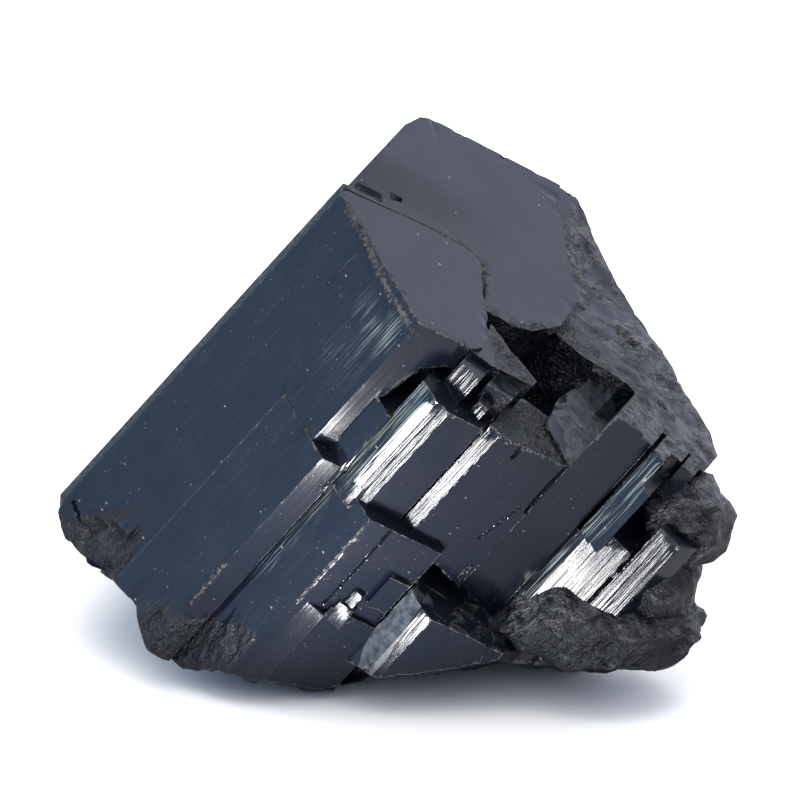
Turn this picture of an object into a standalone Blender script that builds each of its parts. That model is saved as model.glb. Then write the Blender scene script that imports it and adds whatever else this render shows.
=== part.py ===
"""A natural cluster of black tourmaline: prisms grown side by side in one direction.

The cluster is shaped upright, with the length of its crystals along +Z and its stepped front
towards -Y, and is then laid over onto its broken underside. The sizes and places below are in
millimetres of the upright cluster: across is +X, out is -Y, towards the viewer, and along is +Z.
"""

from math import cos, pi, radians, sin
from typing import NamedTuple

import bmesh
import bpy
from mathutils import Matrix, Vector, noise

MM = 0.001

# How the upright cluster is laid over: first forward, then to the right, then back.
TIP_FORWARD = radians(30.6)
LEAN_RIGHT = radians(42.5)
TIP_BACK = radians(25.0)

# The middle and the floor of the laid cluster, seen from the middle of the upright one.
LAID_MIDDLE = (-0.6, 15.9)
LAID_FLOOR = -34.0

# The smooth end faces of the two main crystals, and how far the back one falls to the right.
FRONT_END = 17.65
BACK_END_AT_SEAM = 17.65
SEAM_ACROSS = -4.0
BACK_END_FALL = 0.06

# The slope under the front of the laid cluster: its rise to the viewer, and its height at the
# middle as pairs of right and up.
UNDERSIDE_RISE = 0.45
UNDERSIDE_PROFILE = (
    (-46.0, -33.0),
    (-24.0, -32.6),
    (-9.0, -35.2),
    (-4.0, -33.6),
    (5.0, -32.6),
    (12.0, -31.4),
    (20.0, -32.4),
    (30.0, -32.2),
    (46.0, -30.5),
)

# The flat sides of a broken knob, spread evenly around it.
KNOB_FACETS = 17
GOLDEN_TURN = pi * (3.0 - 5.0 ** 0.5)

# Below this every column is inside the others or is broken away.
DEEP = -62.0
HIGH = 27.0


class Column(NamedTuple):
    """A crystal: the corners (across, out) of its outline, its lower and its upper end."""

    name: str
    corners: tuple
    foot: float
    top: float
    breaks: tuple = ()


# The side faces run at steps of 30 degrees, so that every crystal shines in the same directions.
FRONT_CRYSTAL = Column(
    "front_crystal",
    (
        (-22.6, -2.4),
        (-23.7, -1.6),
        (-23.7, -0.2),
        (-23.0, 0.7),
        (-6.0, 10.4),
        (0.45, 6.7),
        (1.5, 4.6),
        (0.9, 1.5),
        (-1.2, -2.5),
        (-6.0, -13.0),
    ),
    DEEP,
    FRONT_END,
    ("left_gap",),
)

BACK_CRYSTAL = Column(
    "back_crystal",
    (
        (-23.1, -19.5),
        (-23.1, -1.0),
        (-22.0, -1.6),
        (-19.0, -3.5),
        (-13.0, -7.5),
        (-8.0, -10.0),
        (-6.0, -10.2),
        (-4.5, -9.0),
        (-2.7, -4.5),
        (-1.2, -2.6),
        (2.5, -4.6),
        (4.5, -7.0),
        (6.5, -12.5),
        (6.0, -19.3),
        (3.0, -22.9),
        (0.0, -27.5),
        (-3.5, -32.1),
        (-4.8, -35.6),
        (-21.3, -24.9),
        (-22.4, -23.3),
    ),
    DEEP + 1.0,
    HIGH,
    ("back_end",),
)

BROKEN_CRYSTAL = Column(
    "broken_crystal",
    (
        (-9.0, -25.0),
        (-9.0, -32.8),
        (-2.5, -37.05),
        (28.0, -19.4),
        (30.5, -16.0),
        (30.5, -8.6),
        (26.5, -9.2),
        (22.8, -7.4),
        (18.6, -9.9),
        (16.4, -8.6),
        (13.0, -10.6),
        (10.0, -11.7),
        (6.2, -12.6),
        (2.0, -14.0),
    ),
    DEEP + 2.0,
    HIGH,
)

# These share one rough upper end with the broken crystal.
BROKEN_COLUMNS = (
    Column("right_blade", ((18.3, -12.0), (18.3, 2.9), (23.8, -0.3), (23.8, -12.0)), DEEP + 5.0, HIGH - 1.0),
    Column("right_edge_blade", ((24.35, -12.2), (24.35, 0.3), (26.2, 1.35), (26.2, -12.2)), 5.6, HIGH - 2.0),
    Column("right_edge_back", ((25.8, -12.6), (25.8, -3.2), (27.7, -4.2), (27.7, -12.6)), 3.0, HIGH - 3.0),
    Column("small_right_blade", ((28.0, -12.8), (28.0, -3.4), (29.9, -4.4), (29.9, -12.8)), 14.3, HIGH - 4.0),
)

UPPER_COLUMNS = (
    Column("leaf_crystal", ((0.3, -1.5), (0.3, 6.3), (3.4, 5.6), (8.8, 2.5), (8.8, 1.2), (4.0, -0.2)), -20.0, 17.2),
    Column("pale_block", ((0.7, 3.0), (0.7, 8.2), (3.8, 8.5), (3.8, 3.0)), -19.0, 16.4),
    Column("dark_block", ((4.7, 2.0), (4.7, 7.4), (8.1, 6.2), (8.1, 2.0)), -18.0, 16.0),
    Column("bright_block", ((5.2, 2.2), (5.2, 8.6), (6.8, 8.7), (6.8, 2.2)), -17.0, 14.2),
    Column("inner_mass", ((-1.0, -15.0), (-1.0, 3.0), (12.0, 3.1), (18.0, 0.5), (24.0, -2.4), (30.0, -4.0),
                          (30.0, -15.0)), DEEP + 3.0, 4.0),
    Column("level_end_crystal", ((13.0, -13.3), (12.0, -5.8), (13.0, 0.7), (17.8, 3.8), (18.4, 3.3),
                                 (18.4, -13.0)), DEEP + 4.0, 13.4),
    Column("right_edge_step", ((25.5, -12.4), (25.5, 0.95), (27.6, 2.15), (27.6, -12.4)), 5.9, 16.6),
    Column("wide_glint_crystal", ((24.4, -13.0), (24.4, -0.5), (25.4, 0.0), (30.6, 0.3), (30.6, -13.0)),
           DEEP + 6.0, 8.0),
    Column("far_glint_crystal", ((31.1, -13.2), (31.1, 0.4), (34.4, 0.5), (36.0, -2.0), (36.0, -13.2)), DEEP + 7.0,
           13.3),
    Column("glint_backing", ((30.0, -13.4), (30.0, -3.0), (32.0, -3.2), (32.0, -13.4)), DEEP + 8.0, 6.0),
)

MIDDLE_COLUMNS = (
    Column("small_left_blade", ((-4.3, 4.0), (-4.3, 8.9), (-1.0, 10.8), (-1.0, 4.0)), -8.0, 5.7),
    Column("left_glint_blade", ((-1.1, 0.0), (-1.1, 9.7), (1.5, 11.15), (3.8, 11.25), (7.9, 8.9), (7.9, 0.0)),
           -7.0, 11.9),
    Column("middle_blade", ((8.15, -1.0), (8.15, 8.5), (9.9, 8.6), (18.4, 3.75), (18.4, -3.0)), -11.5, 12.9,
           ("right_crack", "lower_crack")),
)

LOWER_COLUMNS = (
    Column("lower_left_layer", ((-16.0, 2.0), (-12.0, 7.08), (-3.7, 11.8), (-0.9, 10.2), (-0.9, 2.0)),
           DEEP + 9.0, -4.0),
    Column("lower_middle_layer", ((-1.0, 3.0), (-1.0, 9.3), (5.2, 12.8), (14.2, 7.6), (14.2, 0.4)), DEEP + 10.0, -5.2),
    Column("raised_block", ((11.7, 3.0), (11.7, 9.9), (14.1, 8.4), (14.1, 3.0)), -16.1, -10.9),
    Column("upper_pale_chip", ((9.7, 3.0), (9.7, 10.6), (10.9, 10.6), (10.9, 3.0)), -17.6, -15.0),
    Column("lower_pale_chip", ((9.2, 3.2), (9.2, 11.0), (11.3, 11.0), (11.3, 3.2)), -20.3, -17.3),
    Column("rough_strip", ((6.0, 3.4), (6.0, 12.1), (9.0, 12.0), (9.0, 3.4)), -48.0, -19.7),
    Column("bottom_layer", ((8.9, 3.6), (8.9, 11.4), (15.8, 7.45), (15.8, 0.0)), -46.0, -18.5),
    Column("lower_right_crystal", ((14.4, -9.0), (14.4, 8.2), (17.0, 9.7), (18.7, 9.8), (27.6, 4.7),
                                   (28.6, 2.0), (28.6, -9.0)), -40.0, -5.0, ("ledge_break", "lower_right_foot")),
)

BACK_COLUMNS = (
    Column("back_step", ((8.0, -22.0), (8.0, -33.6), (16.5, -28.7), (16.5, -22.0)), -56.0, 1.5),
    Column("back_blade", ((16.0, -18.0), (16.0, -31.2), (20.0, -29.0), (24.4, -26.3), (24.4, -18.0)), -57.0, -9.0),
    Column("back_left_step", ((-17.0, -22.0), (-17.0, -30.2), (-8.0, -35.6), (-8.0, -22.0)), -58.0, -6.5),
    Column("back_left_blade", ((-10.5, -24.0), (-10.5, -36.4), (-4.6, -39.3), (0.5, -36.6), (0.5, -24.0)),
           -59.0, -17.0),
)


class Lump(NamedTuple):
    """A rough knob of broken crystal in the laid cluster: its centre, half sizes and relief."""

    name: str
    centre: tuple
    half: tuple
    relief: float


LUMPS = (
    Lump("upper_right_knob", (33.6, -4.8, -10.7), (5.6, 6.8, 5.4), 0.7),
    Lump("middle_right_knob", (29.9, -4.6, -18.6), (5.2, 7.0, 5.6), 0.6),
    Lump("lower_right_knob", (23.1, -2.8, -24.2), (12.8, 9.6, 7.8), 0.9),
)


def lay_over():
    """The turn that lays the upright cluster over."""
    forward = Matrix.Rotation(TIP_FORWARD, 4, "X")
    right = Matrix.Rotation(LEAN_RIGHT, 4, "Y")
    back = Matrix.Rotation(-TIP_BACK, 4, "X")
    return back @ right @ forward


# Sets the laid cluster on the floor, and turns millimetres to metres.
SET_DOWN = Matrix.Scale(MM, 4) @ Matrix.Translation((-LAID_MIDDLE[0], -LAID_MIDDLE[1], -LAID_FLOOR))
LAY = SET_DOWN @ lay_over()


def point(across, out, along):
    """A place in the upright cluster."""
    return Vector((across, -out, along))


def smooth_step(low, high, value):
    """0 below low, 1 above high, and an even rise between them."""
    share = min(max((value - low) / (high - low), 0.0), 1.0)
    return share * share * (3.0 - 2.0 * share)


def relief(across, out, size, seed):
    """Rough broken ground between about -1 and 1, with lumps of the given size and sharp edges."""
    where = Vector((across / size, out / size, seed))
    lumps = noise.noise(where)
    ledges = 1.0 - 2.0 * abs(noise.noise(where * 2.1 + Vector((5.2, 1.3, 0.0))))
    return 0.75 * lumps + 0.35 * ledges


def back_end_height(across, out):
    """The smooth end face of the back crystal."""
    return BACK_END_AT_SEAM - BACK_END_FALL * (across - SEAM_ACROSS)


def top_break_height(across, out):
    """The rough break that runs from the smooth end face to the right and falls to the back."""
    near = back_end_height(across, out) - 0.3 - 0.2 * min(max(across + 1.0, 0.0), 5.0)
    far = 16.0 - 0.1 * (across - 20.0) + 0.17 * (out + 24.1) + 0.1 * max(out + 9.0, 0.0)
    share = smooth_step(8.0, 17.0, across)
    rough = smooth_step(-3.0, 7.0, across) * 0.75 * relief(across, out, 5.0, 3.0)
    return near + (far - near) * share + rough


def ledge_break_height(across, out):
    """The broken upper end of the lower right crystal."""
    return -11.4 + 0.7 * relief(across, out, 4.0, 11.0)


def lower_right_foot_height(across, out):
    """The broken lower end of the lower right crystal, which rises to the right."""
    return -23.3 + 0.6 * (across - 17.0) + 0.08 * (8.0 - out) + 0.9 * relief(across, out, 4.5, 17.0)


# The lower end of the cluster, seen from the front: pairs of across and along.
FOOT_PROFILE = (
    (-30.0, -38.0),
    (-23.7, -39.2),
    (-22.0, -41.6),
    (-19.5, -42.2),
    (-15.0, -40.8),
    (-12.0, -38.9),
    (-8.4, -37.7),
    (-6.8, -38.7),
    (-4.2, -39.7),
    (-1.5, -40.2),
    (1.5, -39.2),
    (4.0, -37.6),
    (8.0, -35.0),
    (40.0, -60.0),
)


def profile_height(profile, place):
    """The height of a profile, straight between its points."""
    for (left, low), (right, high) in zip(profile, profile[1:]):
        if place <= right:
            share = max((place - left) / (right - left), 0.0)
            return low + share * (high - low)
    return profile[-1][1]


def foot_break_height(across, out):
    """The broken lower end, which follows the profile at the front and grows rougher behind."""
    behind = smooth_step(0.0, 12.0, 9.0 - out)
    return profile_height(FOOT_PROFILE, across) + (0.3 + 1.6 * behind) * relief(across, out, 7.0, 23.0)


def underside_height(right, front):
    """The rough slope under the front of the laid cluster, which rises towards the viewer."""
    level = profile_height(UNDERSIDE_PROFILE, right)
    return level + UNDERSIDE_RISE * front + 0.8 * relief(right, front, 6.0, 31.0)


def outline_prism(shape, corners, foot, top):
    """A prism on an outline of (across, out) corners, between two levels along the crystals."""
    feet = [shape.verts.new(point(across, out, foot)) for across, out in corners]
    tops = [shape.verts.new(point(across, out, top)) for across, out in corners]
    shape.faces.new(feet)
    shape.faces.new(tops)
    for index in range(len(corners)):
        after = (index + 1) % len(corners)
        shape.faces.new((feet[index], feet[after], tops[after], tops[index]))


def pocket_prism(shape, corners, near, far):
    """A prism on an outline of (across, along) corners, between two distances out."""
    fronts = [shape.verts.new(point(across, near, along)) for across, along in corners]
    backs = [shape.verts.new(point(across, far, along)) for across, along in corners]
    shape.faces.new(fronts)
    shape.faces.new(backs)
    for index in range(len(corners)):
        after = (index + 1) % len(corners)
        shape.faces.new((fronts[index], fronts[after], backs[after], backs[index]))


def ground_block(shape, across_range, out_range, cell, height, far_level):
    """A block with one rough side, at the given height over its plan, and a flat far side."""
    across_count = round((across_range[1] - across_range[0]) / cell)
    out_count = round((out_range[1] - out_range[0]) / cell)

    def place(i, j):
        across = across_range[0] + i * cell
        out = out_range[0] + j * cell
        if 0 < i < across_count and 0 < j < out_count:
            nudge = Vector((across * 0.9, out * 0.9, 7.7))
            across += 0.35 * cell * noise.noise(nudge)
            out += 0.35 * cell * noise.noise(nudge + Vector((3.1, 4.7, 0.0)))
        return across, out

    spots = [[place(i, j) for j in range(out_count + 1)] for i in range(across_count + 1)]
    rough = [[shape.verts.new(point(a, o, height(a, o))) for a, o in row] for row in spots]
    flat = [[shape.verts.new(point(a, o, far_level)) for a, o in row] for row in spots]
    for i in range(across_count):
        for j in range(out_count):
            square = (rough[i][j], rough[i + 1][j], rough[i + 1][j + 1], rough[i][j + 1])
            if (i + j) % 2:
                shape.faces.new(square[:3])
                shape.faces.new((square[0], square[2], square[3]))
            else:
                shape.faces.new((square[0], square[1], square[3]))
                shape.faces.new(square[1:])
            shape.faces.new((flat[i][j], flat[i + 1][j], flat[i + 1][j + 1], flat[i][j + 1]))
    for i in range(across_count):
        for j in (0, out_count):
            shape.faces.new((rough[i][j], rough[i + 1][j], flat[i + 1][j], flat[i][j]))
    for j in range(out_count):
        for i in (0, across_count):
            shape.faces.new((rough[i][j], rough[i][j + 1], flat[i][j + 1], flat[i][j]))


def facet_ways(lump):
    """The directions of a knob's flat broken sides and their distances from its centre."""
    for index in range(KNOB_FACETS):
        height = 1.0 - 2.0 * (index + 0.5) / KNOB_FACETS
        around = index * GOLDEN_TURN + lump.half[0]
        flat = (1.0 - height * height) ** 0.5
        way = Vector((flat * cos(around), flat * sin(around), height))
        nudge = Vector((index * 1.7, lump.half[1], lump.half[2]))
        yield way, 0.9 + 0.2 * noise.noise(nudge)


def knob(shape, lump):
    """A rough lump with flat broken sides, wider or narrower where the relief swells."""
    bmesh.ops.create_icosphere(shape, subdivisions=4, radius=1.0)
    facets = list(facet_ways(lump))
    for vert in shape.verts:
        way = vert.co.normalized()
        reach = min(far / max(way.dot(side), 0.2) for side, far in facets)
        where = Vector([w * h for w, h in zip(way, lump.half)]) / 3.0
        swell = noise.noise(where + Vector((lump.relief, 2.0, lump.half[0])))
        ledge = abs(noise.noise(where * 2.3 + Vector((1.0, lump.half[2], 4.0))))
        reach += lump.relief * (0.7 * swell - 0.4 * ledge + 0.1) / min(lump.half)
        vert.co = Vector([c + w * h * reach for c, w, h in zip(lump.centre, way, lump.half)])
    bmesh.ops.dissolve_limit(shape, angle_limit=radians(3.0), verts=shape.verts, edges=shape.edges)
    bmesh.ops.triangulate(shape, faces=shape.faces)


def laid_object(name, fill, collection, move=LAY, is_tool=True):
    """An object whose mesh is filled in millimetres and then moved to its place."""
    shape = bmesh.new()
    fill(shape)
    bmesh.ops.recalc_face_normals(shape, faces=shape.faces)
    shape.transform(move)
    mesh = bpy.data.meshes.new(name)
    shape.to_mesh(mesh)
    shape.free()
    made = bpy.data.objects.new(name, mesh)
    collection.objects.link(made)
    if is_tool:
        made.hide_render = True
        made.display_type = "WIRE"
    return made


def floor_block(shape):
    """Everything below the floor of the laid cluster."""
    bmesh.ops.create_cube(shape, size=200.0)
    bmesh.ops.translate(shape, verts=shape.verts, vec=(0.0, 0.0, LAID_FLOOR - 100.0))


def combine(target, operation, other):
    """Joins another object to the target, or takes it away."""
    modifier = target.modifiers.new(other.name, "BOOLEAN")
    modifier.operation = operation
    modifier.solver = "EXACT"
    modifier.object = other


def new_collection(name, hidden):
    """A collection of the scene, left out of the picture when it only holds helpers."""
    made = bpy.data.collections.new(name)
    bpy.context.scene.collection.children.link(made)
    made.hide_render = hidden
    return made


def black_stone():
    """The material of the whole cluster."""
    material = bpy.data.materials.new("tourmaline")
    material.use_nodes = True
    shader = material.node_tree.nodes["Principled BSDF"]
    shader.inputs["Base Color"].default_value = (0.012, 0.013, 0.017, 1.0)
    shader.inputs["Roughness"].default_value = 0.25
    return material


def make_breaks(collection):
    """The rough and the pointed shapes that are taken away, by name."""
    arc = ((-4.0, 5.2), (-3.3, 6.2), (-3.1, 9.7), (-2.4, 12.0), (0.0, 13.9), (1.9, 14.2), (1.9, -2.0), (-4.0, -2.0))
    dark_hollow = ((14.3, -10.9), (14.2, -7.6), (16.0, -8.4), (19.4, -9.6), (19.8, -11.6))
    tools = {
        "right_crack": lambda s: pocket_prism(s, ((18.05, 4.7), (18.3, 5.0), (18.3, 15.0), (18.0, 15.0)), 9.0, 1.0),
        "lower_crack": lambda s: pocket_prism(s, ((17.6, -13.0), (17.9, -13.0), (17.75, -5.6)), 9.0, 1.0),
        "dark_hollow": lambda s: pocket_prism(s, dark_hollow, 8.0, 0.8),
        "left_gap": lambda s: pocket_prism(s, arc, 16.0, 3.0),
        "back_end": lambda s: ground_block(s, (-30.0, 12.0), (-42.0, 6.0), 6.0, back_end_height, 40.0),
        "top_break": lambda s: ground_block(s, (-12.0, 34.0), (-42.0, 6.0), 1.5, top_break_height, 40.0),
        "ledge_break": lambda s: ground_block(s, (12.0, 31.0), (-11.0, 13.0), 1.4, ledge_break_height, 0.0),
        "lower_right_foot": lambda s: ground_block(s, (12.0, 31.0), (-11.0, 13.0), 1.7, lower_right_foot_height, -50.0),
        "foot_break": lambda s: ground_block(s, (-30.0, 18.0), (-44.0, 16.0), 2.0, foot_break_height, -80.0),
    }
    made = {name: laid_object(name, fill, collection) for name, fill in tools.items()}
    made["underside"] = laid_object(
        "underside",
        lambda s: ground_block(s, (-46.0, 46.0), (-6.0, 30.0), 1.9, underside_height, -70.0),
        collection,
        SET_DOWN,
    )
    return made


def column_object(column, collection, breaks, is_tool=True):
    """A crystal with its own broken or smooth ends cut."""
    made = laid_object(
        column.name,
        lambda shape: outline_prism(shape, column.corners, column.foot, column.top),
        collection,
        is_tool=is_tool,
    )
    for name in column.breaks:
        combine(made, "DIFFERENCE", breaks[name])
    return made


def main():
    for old in list(bpy.data.objects):
        bpy.data.objects.remove(old)
    cluster = new_collection("tourmaline_cluster", False)
    growths = new_collection("growths", True)
    cutters = new_collection("cutters", True)
    breaks = make_breaks(cutters)
    crystal = column_object(FRONT_CRYSTAL, cluster, breaks, is_tool=False)
    crystal.name = "tourmaline_crystal"
    crystal.data.name = "tourmaline_crystal"
    crystal.data.materials.append(black_stone())
    broken = column_object(BROKEN_CRYSTAL, growths, breaks)
    for column in BROKEN_COLUMNS:
        combine(broken, "UNION", column_object(column, growths, breaks))
    combine(broken, "DIFFERENCE", breaks["top_break"])
    combine(crystal, "UNION", broken)
    for column in (BACK_CRYSTAL,) + UPPER_COLUMNS + MIDDLE_COLUMNS + LOWER_COLUMNS + BACK_COLUMNS:
        combine(crystal, "UNION", column_object(column, growths, breaks))
    for lump in LUMPS:
        grown = laid_object(lump.name, lambda shape: knob(shape, lump), growths, SET_DOWN)
        combine(crystal, "UNION", grown)
    combine(crystal, "DIFFERENCE", breaks["foot_break"])
    combine(crystal, "DIFFERENCE", breaks["underside"])
    combine(crystal, "DIFFERENCE", breaks["dark_hollow"])
    combine(crystal, "DIFFERENCE", laid_object("floor", floor_block, cutters, SET_DOWN))


main()
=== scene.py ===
"""The looks of a cluster of black tourmaline, built around its solid."""

from math import atan2, ceil, cos, pi, radians, sin

import bmesh
import bpy
import numpy as np
from mathutils import Matrix, Vector
from mathutils.kdtree import KDTree


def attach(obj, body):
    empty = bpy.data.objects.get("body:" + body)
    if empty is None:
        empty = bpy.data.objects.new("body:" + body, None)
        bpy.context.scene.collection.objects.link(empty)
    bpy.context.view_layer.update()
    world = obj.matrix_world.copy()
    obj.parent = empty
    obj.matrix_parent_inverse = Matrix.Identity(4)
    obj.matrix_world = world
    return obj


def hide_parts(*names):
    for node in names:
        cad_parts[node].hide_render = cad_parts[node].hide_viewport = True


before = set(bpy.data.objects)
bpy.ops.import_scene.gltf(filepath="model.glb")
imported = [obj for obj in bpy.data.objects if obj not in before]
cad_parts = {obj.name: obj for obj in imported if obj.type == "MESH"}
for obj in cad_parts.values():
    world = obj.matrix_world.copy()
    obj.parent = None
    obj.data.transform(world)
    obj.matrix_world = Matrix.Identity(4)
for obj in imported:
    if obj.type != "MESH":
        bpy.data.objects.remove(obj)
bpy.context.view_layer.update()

MM = 0.001
# Keeps a division by a length off zero.
TINY = 1e-12

# How the cluster lies: its upright shape is tipped forward, leant to the right and tipped back.
TIP_FORWARD = radians(30.6)
LEAN_RIGHT = radians(42.5)
TIP_BACK = radians(25.0)
# Where the middle and the floor of the lain cluster are before it is set down, in millimetres.
LAID_MIDDLE = (-0.6, 15.9)
LAID_FLOOR = -34.0

# How high an upright point shows in the front view, from its height and how far back it stands.
VIEW_ALONG = 0.861
VIEW_BACK = 0.509
# The way to the viewer in the upright cluster.
TOWARD_VIEW = np.array((0.0, -VIEW_ALONG, VIEW_BACK))

# How far back in the upright cluster the marks and streaks of the front show, in millimetres.
FRONT_MOST = 24.0
# How far back the points lie close enough for them.
FINE_MOST = 11.0
# How far back the rough and the pale places of the front reach.
HOLLOW_MOST = 17.0


def lying():
    """The move from the upright cluster, in millimetres, to its place on the floor, in metres."""
    turn = (
        Matrix.Rotation(-TIP_BACK, 4, "X")
        @ Matrix.Rotation(LEAN_RIGHT, 4, "Y")
        @ Matrix.Rotation(TIP_FORWARD, 4, "X")
    )
    set_down = Matrix.Translation((-LAID_MIDDLE[0], -LAID_MIDDLE[1], -LAID_FLOOR))
    return Matrix.Scale(MM, 4) @ set_down @ turn


LAY = lying()
UPRIGHT = LAY.inverted()
# The way up from the floor in the upright cluster.
UPWARD = np.array(LAY.to_3x3().inverted() @ Vector((0, 0, MM)))


# The surface. All its lengths are in millimetres of the upright cluster.

# How close the points of the finished mesh are: at edges, at marks, on breaks and on flat faces.
EDGE_SPACING = 0.64
MARK_SPACING = 0.2
BROKEN_SPACING = 0.9
FACE_SPACING = 4.0
# How fast the spacing grows away from an edge or a chipped line, and where it starts at an edge.
SPACING_GROWTH = 1.6
WORN_REACH = 0.3
# How fast it grows away from a mark, and from how many of its half widths.
MARK_GROWTH = 0.5
MARK_REACH = 1.5
# What is added to the distance of a place too far back for marks.
OUT_OF_REACH = 50.0
# An edge is split once it is this many times as long as it should be, in so many rounds at most.
SLACK = 1.45
ROUNDS = 12
# An edge runs over a face from ridge to ridge if its ends are nearer to one than the first of these
# and its middle is farther than the second.
ON_RIDGE = 0.05
OFF_RIDGE = 0.35
ACROSS_ROUNDS = 2
# The spacing of the points that stand for an edge when distances from it are measured.
SPOT_SPACING = 0.25
# Points of the solid that are this close are one point.
MERGE_WITHIN = 0.0005

# How far a face's outward way points along the crystals: this at least for an end, and this at
# most for a side. All other faces are broken.
END_FACE_LEAST = 0.99
SIDE_FACE_MOST = 0.012
BROKEN, END, SIDE = 0, 1, 2
# The least fold of an edge that wears, and the most fold of one within a flat face, in radians.
SHARP_FOLD = 0.35
LEVEL_FOLD = 0.0005
# The fold from which an edge of the finished mesh is shaded as sharp.
SHADED_FOLD = radians(24.0)

# Which way a side faces, as a share of a turn: 0 is right, a quarter out and a half left.
FACES_OUT = 0.25
FACES_OUT_LEFT = 1.0 / 3.0
FACES_BACK_FROM = 0.6
HEADING_SLACK = 0.02
# The turn over which the ribs of a side that faces out fade away.
RIBS_FADE = (0.03, 0.06)

# The random ground of the surface: the size of each one's lumps and its seed.
BREAK_STEPS = ((2.6, 2.6, 3.6), 5)
BREAK_CRESTS = ((1.5, 1.5, 2.4), 6)
BREAK_GRAIN = (0.9, 7)
CHIP_LUMPS = ((1.1, 1.1, 1.9), 11)
CHIP_GRAIN = (0.5, 12)
LINE_CRESTS = (0.8, 14)
RING_WOBBLE = (1.2, 15)
BORDER_ACROSS = (1.3, 31)
BORDER_UP = (1.3, 32)

# The heights of a break's steps, crests and grain, and how many steps make up a whole rise.
STEP_HEIGHT = 0.55
CREST_HEIGHT = 0.2
GRAIN_HEIGHT = 0.12
STEP_COUNT = 3
# How far the border of a rough or pale place wanders.
BORDER_WOBBLE = 0.35
# The most that is noted of a distance.
NOTED_MOST = 5.0


def lattice_value(cells, seed):
    """A fixed number between -1 and 1 for each whole-numbered place."""
    x, y, z = (cells[..., axis].astype(np.int64) for axis in range(3))
    mixed = (x * 73856093) ^ (y * 19349663) ^ (z * 83492791) ^ (seed * 2654435761)
    mixed = (mixed ^ (mixed >> 13)) * 1274126177
    mixed = (mixed ^ (mixed >> 16)) & 0xFFFFFF
    return mixed / float(0x7FFFFF) - 1.0


def soft_noise(places, size, seed):
    """Smooth random ground between -1 and 1 with lumps of the given size."""
    scaled = places / np.asarray(size, dtype=float)
    cells = np.floor(scaled)
    share = scaled - cells
    share = share * share * (3.0 - 2.0 * share)
    total = np.zeros(len(places))
    for corner in np.ndindex(2, 2, 2):
        corner = np.array(corner)
        weight = np.prod(np.where(corner, share, 1.0 - share), axis=1)
        total += weight * lattice_value(cells + corner, seed)
    return total


def ridged(places, size, seed):
    """Sharp-crested ground, never above 1 and seldom below -1."""
    return 1.0 - 2.6 * np.abs(soft_noise(places, size, seed))


def fade(low, high, values):
    """0 below low, 1 above high, and a smooth rise between them."""
    share = np.clip((values - low) / (high - low), 0.0, 1.0)
    return share * share * (3.0 - 2.0 * share)


def stepped(values, steps):
    """Soft ground made into level steps with steep rises."""
    scaled = values * steps
    whole = np.floor(scaled)
    return (whole + fade(0.55, 1.0, scaled - whole)) / steps


def upright_shape(solid):
    """A merged copy of the solid, standing upright, in millimetres."""
    shape = bmesh.new()
    shape.from_mesh(solid.data)
    shape.transform(UPRIGHT)
    bmesh.ops.remove_doubles(shape, verts=shape.verts, dist=MERGE_WITHIN)
    bmesh.ops.triangulate(shape, faces=shape.faces)
    shape.normal_update()
    level = [edge for edge in shape.edges if abs(edge.calc_face_angle(1.0)) < LEVEL_FOLD]
    bmesh.ops.beautify_fill(shape, faces=shape.faces, edges=level, method="ANGLE")
    shape.normal_update()
    return shape


def face_kind(face):
    """Whether a face is broken, the flat end of a crystal or a crystal's side."""
    along = face.normal.z
    if along > END_FACE_LEAST:
        return END
    if abs(along) < SIDE_FACE_MOST:
        return SIDE
    return BROKEN


def is_crystal_edge(edge):
    """An edge that stands out and has a crystal face on one of its sides."""
    if edge.calc_face_angle_signed(0.0) < SHARP_FOLD:
        return False
    return any(face_kind(face) != BROKEN for face in edge.link_faces)


def is_end_edge(edge):
    """A crystal edge that doesn't run along a crystal between two of its sides."""
    return is_crystal_edge(edge) and any(face_kind(face) != SIDE for face in edge.link_faces)


def is_inner_edge(edge):
    """An edge that lies in a corner."""
    return edge.calc_face_angle_signed(0.0) < -SHARP_FOLD


def spots_along(edges):
    """Points that follow some edges, ready for finding the nearest one."""
    spots = []
    for edge in edges:
        first, second = (vert.co for vert in edge.verts)
        steps = max(ceil((second - first).length / SPOT_SPACING), 1)
        spots += [first.lerp(second, step / steps) for step in range(steps + 1)]
    tree = KDTree(len(spots))
    for index, spot in enumerate(spots):
        tree.insert(spot, index)
    tree.balance()
    return tree


def distances(tree, places):
    """How far each place is from the nearest point of a tree."""
    find = tree.find
    return np.array([find(place)[2] for place in places.tolist()])


def measured(shape):
    """Points along the shape's edges of each sort, ready for finding the nearest ones."""
    sorts = {"ridge": is_crystal_edge, "end": is_end_edge, "crease": is_inner_edge}
    return {
        name: spots_along([edge for edge in shape.edges if belongs(edge)])
        for name, belongs in sorts.items()
    }


class Mark:
    """A line over the stone's front, through points across and up, its half width and depth."""

    def __init__(self, width, depth, *line):
        self.line = np.array(line, dtype=float)
        self.width = width
        self.depth = depth

    def distance(self, seen):
        """How far each seen place is from the line."""
        nearest = np.full(len(seen), np.inf)
        for first, second in zip(self.line[:-1], self.line[1:]):
            run = second - first
            share = np.clip(((seen - first) @ run) / max(run @ run, TINY), 0.0, 1.0)
            gap = np.linalg.norm(seen - first - share[:, None] * run, axis=1)
            nearest = np.minimum(nearest, gap)
        return nearest


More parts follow.
